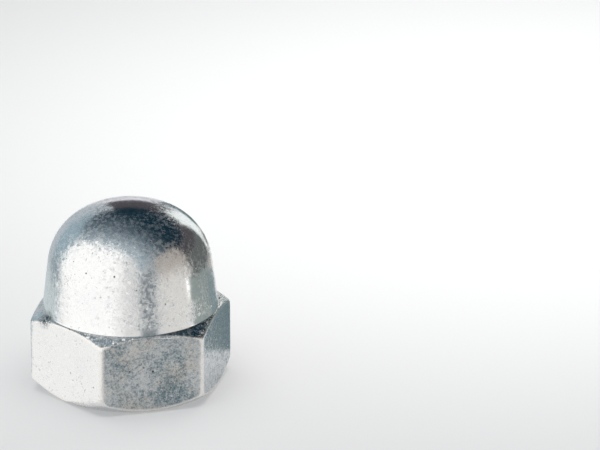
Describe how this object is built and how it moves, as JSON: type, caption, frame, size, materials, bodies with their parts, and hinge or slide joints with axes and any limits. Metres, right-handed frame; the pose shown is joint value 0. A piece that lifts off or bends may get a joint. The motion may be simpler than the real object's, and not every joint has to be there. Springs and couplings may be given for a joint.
{
  "type": "cap nut",
  "caption": "Hexagon cap nut with a closed dome over a blind right-hand threaded bore, in bright zinc-plated steel. It covers the end of a bolt or stud.",
  "frame": {"origin": "centre of the bearing face, on the thread's axis", "axes": "+Z along the thread's axis from the bearing face to the crown of the dome, two of the flats facing +Y and -Y, two of the hexagon's corners on +X and -X"},
  "size_m": [0.0194, 0.017, 0.0179],
  "materials": {
    "zinc_plated_steel": "bright zinc plating with fine handling scratches, pits and blue-grey mottling"
  },
  "bodies": {
    "root": {"cap_nut": "zinc_plated_steel"}
  },
  "joints": []
}
